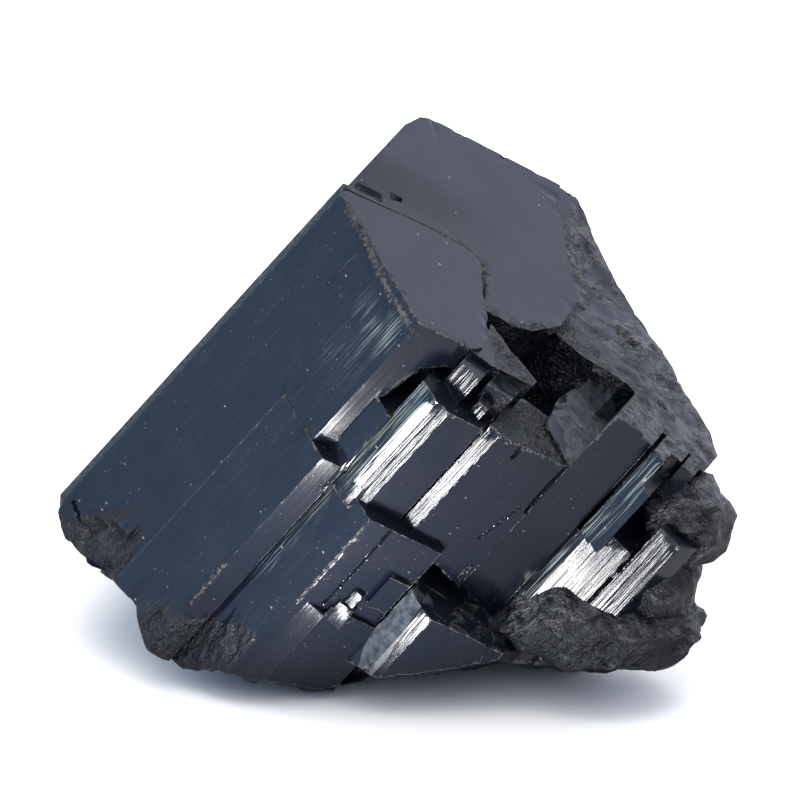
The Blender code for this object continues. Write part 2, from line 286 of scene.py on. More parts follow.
MARKS = (
    # Cracks of the left crystal's lower end, and a scratch near its top.
    Mark(0.25, 0.5, (-22.0, -33.3), (-20.6, -34.0), (-19.7, -34.7)),
    Mark(0.12, 0.1, (-16.9, 13.2), (-16.9, 9.0), (-17.0, 6.0)),
    # A nick at the seam of the two end faces, and the pits at its other end.
    Mark(0.2, 0.35, (-4.3, 19.3), (-3.2, 18.2), (-2.4, 17.3)),
    Mark(0.5, 0.5, (-22.1, 16.95), (-19.3, 17.65)),
    Mark(0.26, 0.5, (-18.4, 18.7), (-17.4, 19.1)),
    # The crevice of the slanting break.
    Mark(0.5, 0.7, (11.9, 25.2), (13.6, 25.5), (15.6, 24.9)),
    Mark(0.3, 0.4, (19.5, 22.6), (21.5, 22.0), (23.5, 22.3)),
    # Cracks between and in the blades.
    Mark(0.22, 0.6, (18.1, 8.8), (18.0, 5.0), (18.15, 2.0)),
    Mark(0.2, 0.5, (17.7, -7.0), (17.6, -10.0)),
    Mark(0.25, 0.6, (12.6, 7.5), (12.7, 5.7)),
    Mark(0.2, 0.5, (30.5, 11.0), (30.9, 7.0), (31.2, 4.5)),
    Mark(0.14, 0.25, (17.3, 2.0), (16.8, -1.0), (16.2, -4.0)),
    Mark(0.18, 0.4, (8.0, -10.0), (8.05, -16.0), (7.95, -22.0)),
)

# Lines along which the stone is chipped and pale.
WORN_LINES = (
    # The edge of the front crystal's end face.
    Mark(0.7, 0.15, (-21.9, 14.3), (-17.3, 12.8), (-10.8, 10.0), (-6.6, 8.9)),
    # The seam of the two end faces.
    Mark(
        0.22, 0.0, (-17.5, 17.5), (-13.0, 19.0), (-8.0, 20.3), (-6.0, 20.4), (-4.5, 19.8),
        (-2.7, 17.5), (-1.2, 16.5),
    ),
    # The left side's narrow slanting face.
    Mark(0.35, 0.03, (-23.5, 13.0), (-23.5, -33.0)),
    # Ridges of the lower steps.
    Mark(0.5, 0.08, (-3.7, -26.5), (-3.6, -32.5)),
    Mark(0.3, 0.12, (5.4, -12.0), (5.5, -24.0)),
)

# Outlines of the places of the front that are rough though the solid is flat, across and up.
ROUGH_PLACES = (
    # The hollow below the back crystal's end.
    (
        (-0.5, 15.8), (6.3, 21.0), (9.2, 24.7), (15.3, 25.1), (20.1, 22.4), (19.2, 20.8),
        (18.6, 17.4), (16.7, 19.1), (14.6, 18.8), (12.5, 17.0), (11.8, 14.3), (12.2, 12.0),
        (9.3, 11.7), (5.9, 11.0), (2.4, 13.4),
    ),
    # The wedge over the middle blade.
    (
        (5.7, 7.7), (6.9, 9.9), (9.8, 11.9), (12.8, 11.8), (16.8, 9.8), (17.5, 8.7),
        (13.8, 7.6), (10.7, 6.6), (8.0, 6.6),
    ),
    # The chipped lower corner of the front crystal.
    (
        (-19.5, -33.0), (-17.0, -31.5), (-13.8, -32.0), (-12.3, -34.5), (-12.2, -38.5),
        (-15.0, -41.5), (-20.0, -42.0), (-21.0, -35.5),
    ),
    # The lower edge of the steps.
    (
        (-9.0, -37.2), (-5.8, -36.4), (-2.4, -33.6), (1.0, -31.2), (4.6, -29.8), (5.2, -33.0),
        (4.0, -39.0), (-2.0, -44.0), (-9.0, -42.0),
    ),
)

# Outlines of pale flat faces: a slab in the hollow, and a blade's side at the lower edge.
PALE_PLACES = (
    (
        (13.1, 12.8), (12.6, 16.7), (14.6, 18.9), (16.7, 19.3), (18.8, 17.2), (18.5, 10.3),
        (17.3, 9.8),
    ),
    ((14.6, -13.0), (14.4, -20.0), (15.6, -25.0), (18.0, -24.0), (16.6, -14.5)),
)

# Where glints and sheen are painted as pale streaks along the crystals: across from and to, up from
# and to, and how strong.
PAINTED_GLINT_PLACES = (
    (-12.4, -10.7, -1.0, 9.0, 0.2),
    (-9.2, -7.2, -0.5, 9.3, 0.4),
    (-1.3, 0.4, -10.5, 7.0, 0.35),
    (0.3, 2.1, -11.0, 4.8, 0.9),
    (-1.0, 0.4, -26.0, -10.5, 0.2),
    (24.0, 27.0, 2.5, 18.0, 0.3),
    (23.8, 27.0, -12.0, 3.0, 0.4),
)

# The broken ring at the lower corner: its centre and half sizes, across and up.
RING_CENTRE = (-15.8, -35.0)
RING_HALF = (2.9, 2.3)
# The half size that its distances are measured with, and how far it wanders, as a share of that.
RING_SIZE = 2.6
RING_UNEVEN = 0.14
# Its half width and depth.
RING_WIDTH = 0.45
RING_DEPTH = 0.4

# The seam of the two end faces, across and back; near it the back one comes down to the front one.
SEAM = Mark(
    9.0, 0.0, (-24.0, 0.4), (-22.0, 1.6), (-19.0, 3.5), (-13.0, 7.5), (-8.0, 10.0), (-6.0, 10.2),
    (-4.5, 9.0), (-2.7, 4.5), (-1.2, 2.6),
)
# The front end face's height, what comes down above it, and the share of it that is left.
SEAM_HEIGHT = 17.65
SEAM_STEP = 1.6
SEAM_KEPT = 0.08
# How close the points near the seam are, and how far below and beside it.
SEAM_SPACING = 1.3
SEAM_BELOW = 0.5
SEAM_BESIDE = 1.0


def seen_from_front(places):
    """Across and up the crystals, as the places are seen from the front."""
    up = VIEW_ALONG * places[:, 2] + VIEW_BACK * places[:, 1]
    return np.stack((places[:, 0], up), axis=1)


def inside(outline, seen):
    """Which seen places lie inside an outline."""
    across, up = seen.T
    hit = np.zeros(len(seen), dtype=bool)
    for (x0, y0), (x1, y1) in zip(outline, outline[1:] + outline[:1]):
        if y0 != y1:
            crosses = (y0 > up) != (y1 > up)
            hit ^= crosses & (across < (x1 - x0) * (up - y0) / (y1 - y0) + x0)
    return hit


def in_any(outlines, places):
    """Which places lie in one of the outlines, as seen from the front, with uneven borders."""
    wobble = [soft_noise(places, *border) for border in (BORDER_ACROSS, BORDER_UP)]
    seen = seen_from_front(places) + BORDER_WOBBLE * np.stack(wobble, axis=1)
    hits = np.any([inside(outline, seen) for outline in outlines], axis=0)
    return hits & (places[:, 1] < HOLLOW_MOST)


def wanted_spacing(places, broken, lengths, ridges):
    """How close the points near each place should be."""
    spacing = np.where(broken | in_any(ROUGH_PLACES, places), BROKEN_SPACING, FACE_SPACING)
    longer = np.flatnonzero(lengths > SLACK * EDGE_SPACING)
    away = distances(ridges, places[longer])
    near_edge = EDGE_SPACING + SPACING_GROWTH * np.maximum(away - WORN_REACH, 0.0)
    spacing[longer] = np.minimum(spacing[longer], near_edge)
    seen = seen_from_front(places)
    behind = np.where(places[:, 1] < FINE_MOST, 0.0, OUT_OF_REACH)
    for mark in MARKS:
        beside = np.maximum(mark.distance(seen) + behind - MARK_REACH * mark.width, 0.0)
        spacing = np.minimum(spacing, MARK_SPACING + MARK_GROWTH * beside)
    for line in WORN_LINES:
        beside = np.maximum(line.distance(seen) + behind - line.width, 0.0)
        spacing = np.minimum(spacing, EDGE_SPACING + SPACING_GROWTH * beside)
    near_seam = SEAM.distance(places[:, :2]) < SEAM.width + SEAM_BESIDE
    levelled = (places[:, 2] > SEAM_HEIGHT - SEAM_BELOW) & near_seam
    return np.where(levelled, np.minimum(spacing, SEAM_SPACING), spacing)


class Skin:
    """A closed surface of triangles, each with what the solid says about its face."""

    def __init__(self, shape):
        shape.verts.index_update()
        self.places = np.array([vert.co for vert in shape.verts])
        self.corners = np.array([[vert.index for vert in face.verts] for face in shape.faces])
        self.kinds = np.array([face_kind(face) for face in shape.faces])
        turns = [atan2(-face.normal.y, face.normal.x) / (2.0 * pi) % 1.0 for face in shape.faces]
        self.headings = np.array(turns)

    def edges(self):
        """The edges' two ends, and for each triangle the edges that start at its corners."""
        pairs = np.stack((self.corners, np.roll(self.corners, -1, axis=1)), axis=2)
        pairs = np.sort(pairs.reshape(-1, 2), axis=1)
        many = len(self.places)
        codes, index = np.unique(pairs[:, 0] * many + pairs[:, 1], return_inverse=True)
        return np.stack((codes // many, codes % many), axis=1), index.reshape(-1, 3)

    def split(self, ends, sides, chosen):
        """Cuts the chosen edges at their middles and the triangles along with them."""
        middle = np.full(len(ends), -1)
        middle[chosen] = len(self.places) + np.arange(chosen.sum())
        halves = self.places[ends[chosen]].mean(axis=1)
        self.places = np.concatenate((self.places, halves))
        cuts = middle[sides]
        count = (cuts >= 0).sum(axis=1)
        whole = np.flatnonzero(count == 0)
        pieces, owners = [self.corners[whole]], [whole]
        for number in (1, 2, 3):
            rows = np.flatnonzero(count == number)
            if not len(rows):
                continue
            # A triangle with two cuts starts at its whole side, and any other at its first cut.
            starts = cuts[rows] < 0 if number == 2 else cuts[rows] >= 0
            order = (np.argmax(starts, axis=1)[:, None] + np.arange(3)) % 3
            corners = np.take_along_axis(self.corners[rows], order, axis=1).T
            middles = np.take_along_axis(cuts[rows], order, axis=1).T
            for piece in self.cut_triangles(number, corners, middles):
                pieces.append(np.stack(piece, axis=1))
                owners.append(rows)
        owners = np.concatenate(owners)
        self.corners = np.concatenate(pieces)
        self.kinds, self.headings = self.kinds[owners], self.headings[owners]

    @staticmethod
    def cut_triangles(number, corners, middles):
        """The smaller triangles of one that is cut on one, two or three sides."""
        a, b, c = corners
        ab, bc, ca = middles
        if number == 1:
            return (a, ab, c), (ab, b, c)
        if number == 2:
            return (bc, c, ca), (a, b, ca), (b, bc, ca)
        return (a, ab, ca), (ab, b, bc), (ca, bc, c), (ab, bc, ca)

    def refine(self, ridges):
        """Splits edges until the points lie as close as they should everywhere."""
        for _ in range(ROUNDS):
            ends, sides = self.edges()
            first, second = self.places[ends[:, 0]], self.places[ends[:, 1]]
            lengths = np.linalg.norm(second - first, axis=1)
            broken = np.zeros(len(ends), dtype=bool)
            broken[sides[self.kinds == BROKEN]] = True
            longer = np.flatnonzero(lengths > SLACK * MARK_SPACING)
            middles = (first[longer] + second[longer]) * 0.5
            wanted = wanted_spacing(middles, broken[longer], lengths[longer], ridges)
            chosen = np.zeros(len(ends), dtype=bool)
            chosen[longer] = lengths[longer] > SLACK * wanted
            if not chosen.any():
                break
            self.split(ends, sides, chosen)
        for _ in range(ACROSS_ROUNDS):
            self.split_across(ridges)

    def split_across(self, ridges):
        """Splits the edges that run from ridge to ridge over a face."""
        ends, sides = self.edges()
        on_ridge = distances(ridges, self.places) < ON_RIDGE
        both = np.flatnonzero(on_ridge[ends].all(axis=1))
        middles = self.places[ends[both]].mean(axis=1)
        chosen = np.zeros(len(ends), dtype=bool)
        chosen[both] = distances(ridges, middles) > OFF_RIDGE
        self.split(ends, sides, chosen)

    def centres(self):
        """The middle of each triangle."""
        return self.places[self.corners].mean(axis=1)

    def face_ways(self):
        """The outward way of each triangle, as long as twice its area."""
        a, b, c = (self.places[self.corners[:, index]] for index in range(3))
        return np.cross(b - a, c - a)

    def ways(self):
        """The outward way at each point."""
        faces = self.face_ways()
        total = np.zeros_like(self.places)
        for index in range(3):
            np.add.at(total, self.corners[:, index], faces)
        return total / np.maximum(np.linalg.norm(total, axis=1, keepdims=True), TINY)

    def broken_share(self):
        """At each point, the share of its faces that are broken."""
        total, hits = np.zeros(len(self.places)), np.zeros(len(self.places))
        for index in range(3):
            np.add.at(total, self.corners[:, index], 1.0)
            np.add.at(hits, self.corners[:, index], (self.kinds == BROKEN).astype(float))
        return hits / np.maximum(total, 1.0)

    def mesh(self, name):
        """The surface as a mesh."""
        made = bpy.data.meshes.new(name)
        made.from_pydata(self.places.tolist(), [], self.corners.tolist())
        made.update()
        return made


def break_ground(places):
    """The height of a break's rough ground."""
    steps = stepped(soft_noise(places, *BREAK_STEPS), STEP_COUNT)
    crests = ridged(places, *BREAK_CRESTS)
    grain = soft_noise(places, *BREAK_GRAIN)
    return STEP_HEIGHT * steps + CREST_HEIGHT * crests + GRAIN_HEIGHT * grain


def chip_depth(places, away):
    """How deep the crystals' edges are chipped: unevenly at the ends, hardly along the sides."""
    lumps = soft_noise(places, *CHIP_LUMPS) + 0.4 * soft_noise(places, *CHIP_GRAIN)
    chips = fade(0.2, 0.75, lumps)
    reach = 0.2 + 0.45 * chips
    at_end = 0.08 + 0.92 * (1.0 - fade(0.5, 1.5, away["end"]))
    return (0.02 + 0.22 * chips) * at_end * (1.0 - fade(0.0, 1.0, away["ridge"] / reach))


def ring_distance(places, seen):
    """How far each seen place is from the broken ring."""
    offset = (seen - RING_CENTRE) / RING_HALF
    wobble = RING_UNEVEN * soft_noise(places, *RING_WOBBLE)
    return RING_SIZE * np.abs(np.linalg.norm(offset, axis=1) + wobble - 1.0)


def relief(places, seen, broken, away, front):
    """How far each point moves in (below zero) or out."""
    from_fold = np.minimum(away["ridge"], away["crease"])
    move = broken * break_ground(places) * fade(-0.2, 0.9, from_fold)
    move -= chip_depth(places, away)
    for mark in MARKS:
        on_mark = 1.0 - fade(0.3, 1.0, mark.distance(seen) / mark.width)
        move -= mark.depth * on_mark * front
    for line in WORN_LINES:
        on_line = 1.0 - fade(0.4, 1.0, line.distance(seen) / line.width)
        move -= line.depth * on_line * front * (0.4 + 0.6 * ridged(places, *LINE_CRESTS))
    on_ring = 1.0 - fade(0.3, 0.8, ring_distance(places, seen))
    return move - RING_DEPTH * on_ring * front


def level_seam(places):
    """Brings the back crystal's end face down to the front one's where the two meet."""
    away = SEAM.distance(places[:, :2])
    high = places[:, 2] - SEAM_HEIGHT
    on_step = (high > 0.0) & (high < SEAM_STEP)
    top = on_step & (places[:, 0] < 0.0) & (away < SEAM.width)
    kept = SEAM_KEPT + (1.0 - SEAM_KEPT) * fade(0.0, 1.0, away / SEAM.width)
    levelled = places.copy()
    levelled[:, 2] = np.where(top, SEAM_HEIGHT + high * kept, places[:, 2])
    return levelled


def worn_line_distance(places, seen):
    """How far each seen place is from the nearest chipped line, over the line's half width."""
    nearest = ring_distance(places, seen) / RING_WIDTH
    for line in WORN_LINES:
        nearest = np.minimum(nearest, line.distance(seen) / line.width)
    return nearest


def painted_glint_strength(seen):
    """How strongly the painted glints, pale streaks, show on the front."""
    across, up = seen.T
    shown = np.zeros(len(seen))
    for left, right, low, high, strength in PAINTED_GLINT_PLACES:
        over = fade(left, left + 0.5, across) * (1.0 - fade(right - 0.4, right, across))
        along = fade(low, low + 3.0, up) * (1.0 - fade(high - 1.5, high, up))
        shown = np.maximum(shown, strength * over * along)
    return shown


def roughen_faces(skin):
    """Marks the front's faces that are rough though the solid is flat there, and says which."""
    rough = in_any(ROUGH_PLACES, skin.centres()) & (skin.face_ways() @ TOWARD_VIEW > 0.0)
    skin.kinds[rough] = BROKEN
    return rough


def note(mesh, name, values, domain="POINT"):
    """Writes one number for each point or face of the mesh, for the materials to read."""
    layer = mesh.attributes.new(name, "FLOAT", domain)
    layer.data.foreach_set("value", np.asarray(values, dtype=np.float32))


def note_faces(mesh, skin, rough):
    """The masks that each face carries."""
    ways = skin.face_ways()
    lengths = np.maximum(np.linalg.norm(ways, axis=1), TINY)
    looks_up = fade(0.1, 0.6, ways @ UPWARD / lengths)
    at_back = skin.headings > FACES_BACK_FROM
    out_most = 1.0 - fade(*RIBS_FADE, np.abs(skin.headings - FACES_OUT))
    out_left = np.abs(skin.headings - FACES_OUT_LEFT) < HEADING_SLACK
    lined = np.where(out_left, 1.0, np.where(skin.kinds == END, 0.5, 0.25))
    pale = in_any(PALE_PLACES, skin.centres()) & (ways @ TOWARD_VIEW > 0.0)
    note(mesh, "broken", skin.kinds == BROKEN, "FACE")
    note(mesh, "end", skin.kinds == END, "FACE")
    note(mesh, "ribbed", np.maximum(out_most, 0.5 * at_back), "FACE")
    note(mesh, "lined", np.maximum(lined, 0.8 * at_back), "FACE")
    # Painted top light: how much lighter breaks are painted where they face up; much less in the
    # rough hollows, where shade falls.
    note(mesh, "painted_top_light", looks_up * (1.0 - 0.8 * rough), "FACE")
    note(mesh, "pale", pale & (skin.kinds != BROKEN), "FACE")


def note_points(mesh, places, seen, away, front):
    """What each point carries: how far chipped edges and lines are, and the painted glints."""
    from_line = np.minimum(worn_line_distance(places, seen), NOTED_MOST)
    note(mesh, "end_away", np.minimum(away["end"], NOTED_MOST))
    note(mesh, "ridge_away", np.minimum(away["ridge"], NOTED_MOST))
    note(mesh, "line_away", np.where(front, from_line, NOTED_MOST))
    # How strongly glints and sheen are painted as pale streaks at each point.
    note(mesh, "streaked", painted_glint_strength(seen) * front)


def make_cluster(solid):
    """The finished cluster as one piece, with its masks."""
    shape = upright_shape(solid)
    trees = measured(shape)
    skin = Skin(shape)
    shape.free()
    skin.refine(trees["ridge"])
    skin.places = level_seam(skin.places)
    rough = roughen_faces(skin)
    places, ways = skin.places, skin.ways()
    seen = seen_from_front(places)
    away = {name: distances(tree, places) for name, tree in trees.items()}
    front = (ways @ TOWARD_VIEW > 0.0) & (places[:, 1] < FRONT_MOST)
    moves = relief(places, seen, skin.broken_share(), away, front)
    skin.places = places + ways * moves[:, None]
    mesh = skin.mesh("tourmaline_stone")
    note_faces(mesh, skin, rough)
    note_points(mesh, places, seen, away, front)
    mesh.transform(LAY)
    rest_on_floor(mesh)
    mesh.polygons.foreach_set("use_smooth", [True] * len(mesh.polygons))
    mesh.set_sharp_from_angle(angle=SHADED_FOLD)
    piece = bpy.data.objects.new("tourmaline_stone", mesh)
    bpy.context.scene.collection.objects.link(piece)
    return piece


def rest_on_floor(mesh):
    """Keeps the flat break that the stone rests on flat."""
    for vert in mesh.vertices:
        vert.co.z = max(vert.co.z, 0.0)


# The materials.

# The stone's colours: its two shades, rough breaks with a painted top light where they face up,
# glints painted as pale and white streaks, pale faces, worn edges and dust.
SHADE_STONE = (0.0035, 0.006, 0.012, 1)
LIGHT_STONE = (0.0065, 0.008, 0.014, 1)
BREAK_SHADE = (0.005, 0.006, 0.01, 1)
# The next colour is painted top light: the lighter colour of breaks where they face up, and the
# crumbs show most there.
BREAK_PAINTED_TOP_LIGHT = (0.072, 0.072, 0.08, 1)
BREAK_CRUMB = (0.14, 0.135, 0.14, 1)
# Painted glints: a pale streak colour and a white one stand in for light that the striated sides
# mirror.
PAINTED_GLINT_STREAK = (0.42, 0.48, 0.46, 1)
PAINTED_GLINT_WHITE = (0.95, 0.97, 0.95, 1)
PALE_STONE = (0.09, 0.105, 0.12, 1)
WORN_EDGE = (0.12, 0.115, 0.11, 1)
DUST = (0.30, 0.33, 0.33, 1)

# How strongly the stone bends light.
STONE_IOR = 1.4
# How rough the glassy sides are, and what each other finish adds to that.
GLASSY = 0.1
HAIRLINE_ROUGHNESS = 0.1
END_ROUGHNESS = 0.2
BREAK_ROUGHNESS = 0.26
WORN_ROUGHNESS = 0.45
DUST_ROUGHNESS = 0.3
PALE_ROUGHNESS = 0.2

# The depth of the sides' ribs and of the breaks' grain, in metres, and how far the grain shows.
RIB_DEPTH = 0.00005
GRAIN_DEPTH = 0.0005
GRAIN_STRENGTH = 0.9

# How fine the stone's grains are, in lumps for each millimetre across, out and along the crystals.
HAIRLINES_PER_MM = (4.5, 4.5, 0.07)
SCRATCHES_PER_MM = (6.0, 6.0, 0.12)
RIBS_PER_MM = (1.3, 1.3, 0.03)
PATCHES_PER_MM = (0.35, 0.7, 0.8)
FLAKES_PER_MM = (1.3, 1.3, 0.9)
CRUMBLE_PER_MM = (2.4, 2.4, 1.6)
# These are as fine in all directions.
SPECKLE_PER_MM = 2.6
GRIT_PER_MM = 0.9
CLOUDS_PER_MM = 0.16
FINE_DUST_PER_MM = 1.15
# The breaks' chips and crumbs and the dust: how they are stretched, and how many a millimetre has.
CHIP_STRETCH, CHIPS_PER_MM = (1.0, 1.0, 0.55), 1.1
CRUMB_STRETCH, CRUMBS_PER_MM = (1.0, 1.0, 0.7), 3.1
DUST_STRETCH, DUST_PER_MM = (0.8, 1.0, 1.3), 0.38
# How large the specks of dust are, in shares of their cells.
DUST_SIZE = 0.07
FINE_DUST_SIZE = 0.11

# The floor is white to the camera, and gray where the stone mirrors it or light comes off it.
FLOOR_SEEN = (1.0, 1.0, 1.0, 1)
FLOOR_MIRRORED = (0.5, 0.5, 0.5, 1)
FLOOR_ROUGHNESS = 0.9


class Amount:
    """A number that varies over a surface, for use in sums."""

    def __init__(self, paint, socket):
        self.paint = paint
        self.socket = socket

    def join(self, operation, first, second):
        """One Math node."""
        return self.paint.node("ShaderNodeMath", {"operation": operation}, {0: first, 1: second})

    def __add__(self, other):
        return self.join("ADD", self, other)

    def __sub__(self, other):
        return self.join("SUBTRACT", self, other)

    def __mul__(self, other):
        return self.join("MULTIPLY", self, other)

    def __rsub__(self, other):
        return self.join("SUBTRACT", other, self)

    __radd__ = __add__
    __rmul__ = __mul__

    def most(self, other):
        """The larger of the two."""
        return self.join("MAXIMUM", self, other)

    def between(self, low, high):
        """0 below low, 1 above high, and a smooth rise between them."""
        return self.paint.node(
            "ShaderNodeMapRange",
            {"interpolation_type": "SMOOTHSTEP"},
            {"Value": self, "From Min": low, "From Max": high},
        )


class Paint:
    """A material that is being put together."""

    def __init__(self, name):
        self.material = bpy.data.materials.new(name)
        self.material.use_nodes = True
        self.nodes = self.material.node_tree.nodes
        self.links = self.material.node_tree.links
        self.shader = self.nodes["Principled BSDF"]

    @classmethod
    def of_tree(cls, tree):
        """Nodes that are put into a tree that isn't a material's."""
        paint = cls.__new__(cls)
        paint.nodes, paint.links = tree.nodes, tree.links
        return paint

    def node(self, kind, settings=None, inputs=None, output=0):
        """A node with its settings, its input values or links, and the output that is used."""
        made = self.nodes.new(kind)
        for key, value in (settings or {}).items():
            setattr(made, key, value)
        for key, value in (inputs or {}).items():
            self.feed(made.inputs[key], value)
        return Amount(self, made.outputs[output])

    def feed(self, socket, value):
        """Gives a socket a value or a link."""
        if isinstance(value, Amount):
            self.links.new(value.socket, socket)
        else:
            socket.default_value = value

    def set(self, **inputs):
        """The finished shader's own sockets."""
        for key, value in inputs.items():
            self.feed(self.shader.inputs[key.replace("_", " ")], value)

    def mask(self, name):
        """A mask that the piece carries."""
        return self.node("ShaderNodeAttribute", {"attribute_name": name}, output="Fac")

    def noise(self, place, scale=1.0, detail=3.0, roughness=0.55):
        """Soft random values around a half."""
        return self.node(
            "ShaderNodeTexNoise",
            inputs={"Vector": place, "Scale": scale, "Detail": detail, "Roughness": roughness},
        )

    def cells(self, place, scale, metric="EUCLIDEAN"):
        """The distance from the middles of scattered cells."""
        return self.node(
            "ShaderNodeTexVoronoi",
            {"feature": "F1", "distance": metric},
            {"Vector": place, "Scale": scale, "Randomness": 1.0},
            output="Distance",
        )

    def dots(self, place, scale, size):
        """Small round specks, each in a cell of its own."""
        return 1.0 - self.cells(place, scale).between(size * 0.5, size)

    def blend(self, share, first, second):
        """A colour between two colours."""
        inputs = {0: share, 6: first, 7: second}
        return self.node("ShaderNodeMix", {"data_type": "RGBA"}, inputs, output=2)

    def stretched(self, place, by):
        """A place with its three directions stretched."""
        return self.node("ShaderNodeVectorMath", {"operation": "MULTIPLY"}, {0: place, 1: by})

    def bump(self, height, distance, strength=1.0, below=None):
        """A surface way that follows a height."""
        inputs = {"Height": height, "Distance": distance, "Strength": strength}
        if below is not None:
            inputs["Normal"] = below
        return self.node("ShaderNodeBump", inputs=inputs)


def upright_place(paint):
    """Object coordinates, turned to the upright cluster and given in millimetres."""
    lain = paint.node("ShaderNodeTexCoord", output="Object")
    turn = tuple(UPRIGHT.to_euler())
    scale = (1 / MM, 1 / MM, 1 / MM)
    return paint.node(
        "ShaderNodeMapping", inputs={"Vector": lain, "Rotation": turn, "Scale": scale}
    )


def wear(paint, place):
    """How chipped the edges are: unevenly at the ends, thinly on sides, broadly on some lines."""
    flakes = paint.stretched(place, FLAKES_PER_MM)
    flake = paint.noise(flakes, detail=4.0, roughness=0.65)
    crumble = paint.noise(paint.stretched(place, CRUMBLE_PER_MM), detail=4.0, roughness=0.7)
    ends = paint.mask("end_away") - flake.between(0.5, 0.72) * 0.4
    sides = paint.mask("ridge_away") - flake.between(0.62, 0.72) * 0.3
    lines = paint.mask("line_away") + crumble.between(0.3, 0.7) * 1.1
    thin = (1.0 - ends.between(0.03, 0.12)).most((1.0 - sides.between(0.01, 0.08)) * 0.6)
    return thin.most(1.0 - lines.between(0.7, 1.1))


class Stone:
    """What varies over the stone: the masks that the piece carries and the stone's own grains."""

    def __init__(self, paint):
        place = upright_place(paint)
        self.broken, self.end, self.painted_top_light = map(paint.mask, ("broken", "end", "painted_top_light"))
        self.ribbed, self.lined = map(paint.mask, ("ribbed", "lined"))
        self.streaked, self.pale = map(paint.mask, ("streaked", "pale"))
        self.side = (1.0 - self.broken) * (1.0 - self.end)
        self.worn = wear(paint, place)
        self.hairlines = paint.noise(paint.stretched(place, HAIRLINES_PER_MM), detail=2.0)
        self.scratches = paint.noise(paint.stretched(place, SCRATCHES_PER_MM), detail=2.0)
        self.ribs = paint.noise(paint.stretched(place, RIBS_PER_MM), roughness=0.7)
        patches = paint.stretched(place, PATCHES_PER_MM)
        self.patches = paint.noise(patches, detail=4.0, roughness=0.6)
        self.speckle = paint.noise(place, SPECKLE_PER_MM, detail=4.0, roughness=0.7)
        self.grit = paint.noise(place, GRIT_PER_MM, detail=6.0, roughness=0.72)
        self.cloud = paint.noise(place, CLOUDS_PER_MM)
        chips = paint.stretched(place, CHIP_STRETCH)
        self.chips = paint.cells(chips, CHIPS_PER_MM, "CHEBYCHEV")
        crumbs = paint.stretched(place, CRUMB_STRETCH)
        self.crumbs = paint.cells(crumbs, CRUMBS_PER_MM, "CHEBYCHEV")
        self.dust = paint.dots(paint.stretched(place, DUST_STRETCH), DUST_PER_MM, DUST_SIZE)
        fine = paint.dots(place, FINE_DUST_PER_MM, FINE_DUST_SIZE)
        self.fine_dust = fine * self.cloud.between(0.42, 0.6)


def glassy_colour(paint, stone):
    """The colour of the sides and ends: near black, with pale scratches, glints painted as pale
    streaks, and pale faces.
    """
    colour = paint.blend(stone.cloud.between(0.3, 0.7), SHADE_STONE, LIGHT_STONE)
    scratched = stone.side * stone.lined * stone.scratches.between(0.55, 0.75) * 0.08
    colour = paint.blend(scratched, colour, PALE_STONE)
    # Painted glints: pale streaks, and white where they are strongest.
    colour = paint.blend(stone.streaked * stone.scratches.between(0.5, 0.62), colour, PAINTED_GLINT_STREAK)
    painted_white_share = stone.streaked.between(0.6, 0.85) * stone.scratches.between(0.38, 0.48)
    colour = paint.blend(painted_white_share, colour, PAINTED_GLINT_WHITE)
    return paint.blend(stone.pale * stone.grit.between(0.25, 0.7) * 0.7, colour, PALE_STONE)


def break_colour(paint, stone):
    """The colour of the breaks: dark, with mottling and crumbs, and a painted top light that makes
    them lighter where they look up.
    """
    top_lit_patches = stone.painted_top_light * stone.patches.between(0.4, 0.62)
    colour = paint.blend(top_lit_patches, BREAK_SHADE, BREAK_PAINTED_TOP_LIGHT)
    # Pale crumbs, shown most where the breaks look up, as part of the painted top light.
    crumbs_and_top_light = stone.speckle.between(0.62, 0.7) * (stone.painted_top_light * 0.7 + 0.15)
    return paint.blend(crumbs_and_top_light, colour, BREAK_CRUMB)


def stone_colour(paint, stone):
    """The stone's whole colour, with its worn edges and its dust."""
    glassy, rock = glassy_colour(paint, stone), break_colour(paint, stone)
    colour = paint.blend(stone.broken * stone.grit.between(0.36, 0.56), glassy, rock)
    colour = paint.blend(stone.worn * stone.speckle.between(0.35, 0.65) * 0.7, colour, WORN_EDGE)
    dust = stone.fine_dust * 0.4 + stone.dust * 0.6
    return paint.blend(dust * (0.1 + 0.9 * stone.lined) * (1.0 - stone.worn), colour, DUST)


def stone_roughness(stone):
    """Glassy sides, satin ends, and duller breaks, worn edges, dust and pale faces."""
    return (
        GLASSY
        + stone.side * stone.hairlines * HAIRLINE_ROUGHNESS
        + stone.end * END_ROUGHNESS
        + stone.broken * BREAK_ROUGHNESS
        + stone.worn * WORN_ROUGHNESS
        + stone.fine_dust * DUST_ROUGHNESS
        + stone.pale * PALE_ROUGHNESS
    )


def stone_bumps(paint, stone):
    """The ribs of the sides and the grain of the ends, then the grain of breaks and worn edges."""
    ribs = stone.hairlines * 0.15 + stone.ribs * stone.ribbed * 3.2
    lines = stone.side * ribs + stone.end * stone.speckle * 0.3
    grain = stone.grit * 0.6 + stone.chips * 0.8 + stone.crumbs * 0.55
    grain = stone.broken * grain + stone.worn * stone.speckle * 0.5
    return paint.bump(grain, GRAIN_DEPTH, GRAIN_STRENGTH, paint.bump(lines, RIB_DEPTH))


def black_tourmaline():
    """Glassy black stone: striated sides, satin ends, matt breaks and pale worn edges."""
    paint = Paint("black_tourmaline")
    stone = Stone(paint)
    paint.set(
        Base_Color=stone_colour(paint, stone),
        Roughness=stone_roughness(stone),
        Normal=stone_bumps(paint, stone),
        IOR=STONE_IOR,
    )
    return paint.material


